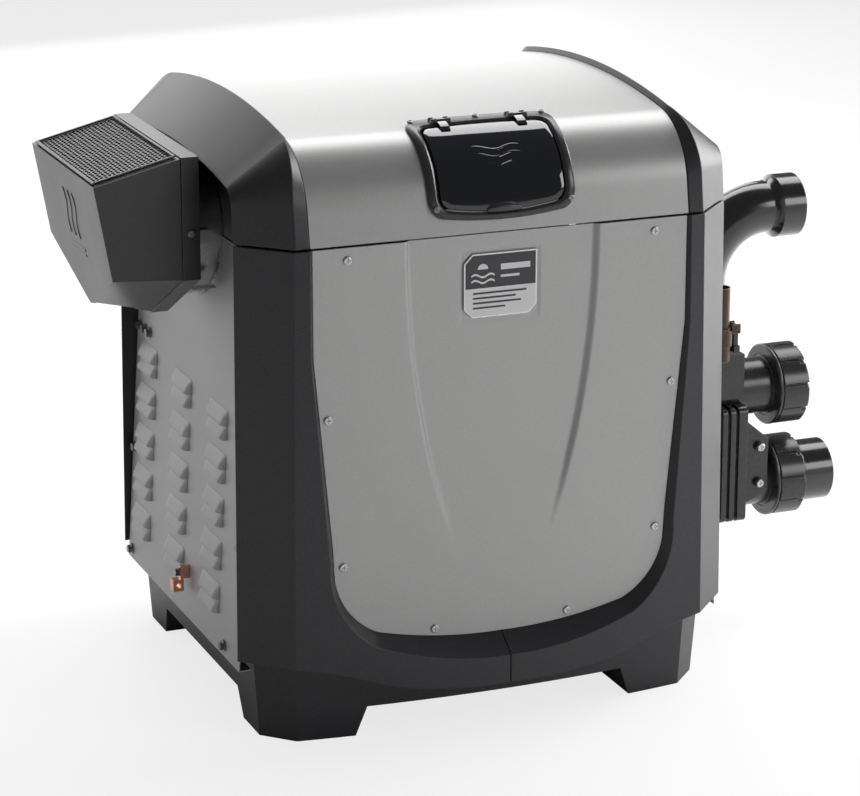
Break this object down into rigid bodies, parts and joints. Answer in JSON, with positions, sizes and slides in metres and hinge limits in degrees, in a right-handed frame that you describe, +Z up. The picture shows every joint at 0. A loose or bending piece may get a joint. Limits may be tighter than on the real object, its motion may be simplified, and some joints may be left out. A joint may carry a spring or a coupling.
{
  "type": "gas pool and spa heater",
  "caption": "Gas-fired pool and spa heater with side vent hood, louvred side, control window, water unions and sweep elbow.",
  "frame": {"origin": "on the floor, midway between the four feet", "axes": "+Z up, +X to the water side (right), -Y to the front"},
  "size_m": [0.916, 0.5537, 0.661],
  "materials": {
    "charcoal_plastic": "fine textured, semi-matt",
    "grey_lacquer": "metallic warm grey, satin",
    "light_grey_sheet": "light grey powder coat",
    "black_sheet": "black powder coat",
    "badge_plate": "printed, satin",
    "steel_zinc": "bright zinc",
    "screw_dark": "zinc, dull",
    "copper": "bare copper",
    "bezel_plastic": "textured",
    "smoked_window": "gloss, near black",
    "key_plastic": "satin keys",
    "display_glass": "gloss",
    "circuit_board": "solder mask",
    "header_plastic": "glass-filled, satin",
    "pipe_plastic": "gloss black",
    "o_ring_rubber": "matt",
    "bronze": "brown bronze",
    "chamber_steel": "aluminised steel",
    "valve_casting": "die cast",
    "gas_steel": "black steel",
    "spring_steel": "spring wire"
  },
  "bodies": {
    "cabinet": {"base_tray": "charcoal_plastic", "front_frame_left": "charcoal_plastic", "front_frame_right": "charcoal_plastic", "rear_frame_left": "charcoal_plastic", "rear_frame_right": "charcoal_plastic", "top_trim_left": "charcoal_plastic", "top_trim_right": "charcoal_plastic", "lid": "grey_lacquer", "front_panel": "grey_lacquer", "front_badge": "badge_plate", "front_panel_screws": "steel_zinc", "side_panel_left": "light_grey_sheet", "vent_panel_left": "light_grey_sheet", "side_panel_right": "light_grey_sheet", "rear_panel": "light_grey_sheet", "cabinet_screws": "screw_dark", "bonding_lug": "copper", "hood_shell": "black_sheet", "hood_collar": "black_sheet", "hood_grille": "black_sheet", "hood_screws": "screw_dark", "exhaust_duct": "steel_zinc", "duct_clamps": "steel_zinc", "control_bezel": "bezel_plastic", "bezel_screws": "screw_dark", "hinge_clips": "bezel_plastic", "hinge_pins": "steel_zinc", "keypad_plate": "bezel_plastic", "display_window": "display_glass", "control_board": "circuit_board", "water_header": "header_plastic", "bypass_cover": "header_plastic", "header_screws": "steel_zinc", "tailpiece_upper": "pipe_plastic", "tailpiece_lower": "pipe_plastic", "union_o_rings": "o_ring_rubber", "sweep_elbow": "pipe_plastic", "relief_valve_body": "bronze", "relief_tube": "bronze", "bypass_spring": "spring_steel", "combustion_chamber": "chamber_steel", "heat_exchanger": "copper", "return_header": "valve_casting", "burner": "chamber_steel", "blower_housing": "valve_casting", "blower_motor": "black_sheet", "gas_valve": "valve_casting", "gas_pipe": "gas_steel"},
    "window_door": {"window_door": "smoked_window"},
    "button_pool": {"button_pool": "key_plastic"},
    "button_spa": {"button_spa": "key_plastic"},
    "button_menu": {"button_menu": "key_plastic"},
    "button_down": {"button_down": "key_plastic"},
    "button_up": {"button_up": "key_plastic"},
    "upper_nut": {"union_nut_upper": "pipe_plastic"},
    "lower_nut": {"union_nut_lower": "pipe_plastic"},
    "relief_lever": {"relief_lever": "bezel_plastic"},
    "bypass_poppet": {"bypass_poppet": "header_plastic"},
    "blower_wheel": {"blower_wheel": "chamber_steel"},
    "gas_knob": {"gas_knob": "bezel_plastic"}
  },
  "joints": [
    {"name": "door_hinge", "type": "hinge", "parent": "cabinet", "child": "window_door", "pos_m": [0, -0.18069, 0.64618], "axis": [-1, 0, 0], "range_deg": [0, 95]},
    {"name": "pool_press", "type": "slide", "parent": "cabinet", "child": "button_pool", "axis": [0, 0.6884, -0.7254], "range_m": [0, 0.0012], "stiffness_N_per_m": 900},
    {"name": "spa_press", "type": "slide", "parent": "cabinet", "child": "button_spa", "axis": [0, 0.6884, -0.7254], "range_m": [0, 0.0012], "stiffness_N_per_m": 900},
    {"name": "menu_press", "type": "slide", "parent": "cabinet", "child": "button_menu", "axis": [0, 0.6884, -0.7254], "range_m": [0, 0.0012], "stiffness_N_per_m": 900},
    {"name": "down_press", "type": "slide", "parent": "cabinet", "child": "button_down", "axis": [0, 0.6884, -0.7254], "range_m": [0, 0.0012], "stiffness_N_per_m": 900},
    {"name": "up_press", "type": "slide", "parent": "cabinet", "child": "button_up", "axis": [0, 0.6884, -0.7254], "range_m": [0, 0.0012], "stiffness_N_per_m": 900},
    {"name": "upper_nut_spin", "type": "hinge", "parent": "cabinet", "child": "upper_nut", "pos_m": [0.457, 0, 0.261], "axis": [1, 0, 0], "continuous": true},
    {"name": "lower_nut_spin", "type": "hinge", "parent": "cabinet", "child": "lower_nut", "pos_m": [0.457, 0, 0.149], "axis": [1, 0, 0], "continuous": true},
    {"name": "lever_lift", "type": "hinge", "parent": "cabinet", "child": "relief_lever", "pos_m": [0.361, -0.072, 0.357], "axis": [0, -1, 0], "range_deg": [0, 80], "stiffness_Nm_per_rad": 0.02},
    {"name": "poppet_lift", "type": "slide", "parent": "cabinet", "child": "bypass_poppet", "axis": [0, 0, 1], "range_m": [0, 0.008], "stiffness_N_per_m": 900, "springref_m": -0.002, "deforming": ["bypass_spring"]},
    {"name": "blower_spin", "type": "hinge", "parent": "cabinet", "child": "blower_wheel", "pos_m": [0.095, 0.04, 0.47], "axis": [0, 0, 1], "continuous": true},
    {"name": "gas_knob_turn", "type": "hinge", "parent": "cabinet", "child": "gas_knob", "pos_m": [0.18, -0.15, 0.37], "axis": [0, 0, 1], "range_deg": [-90, 0]}
  ]
}
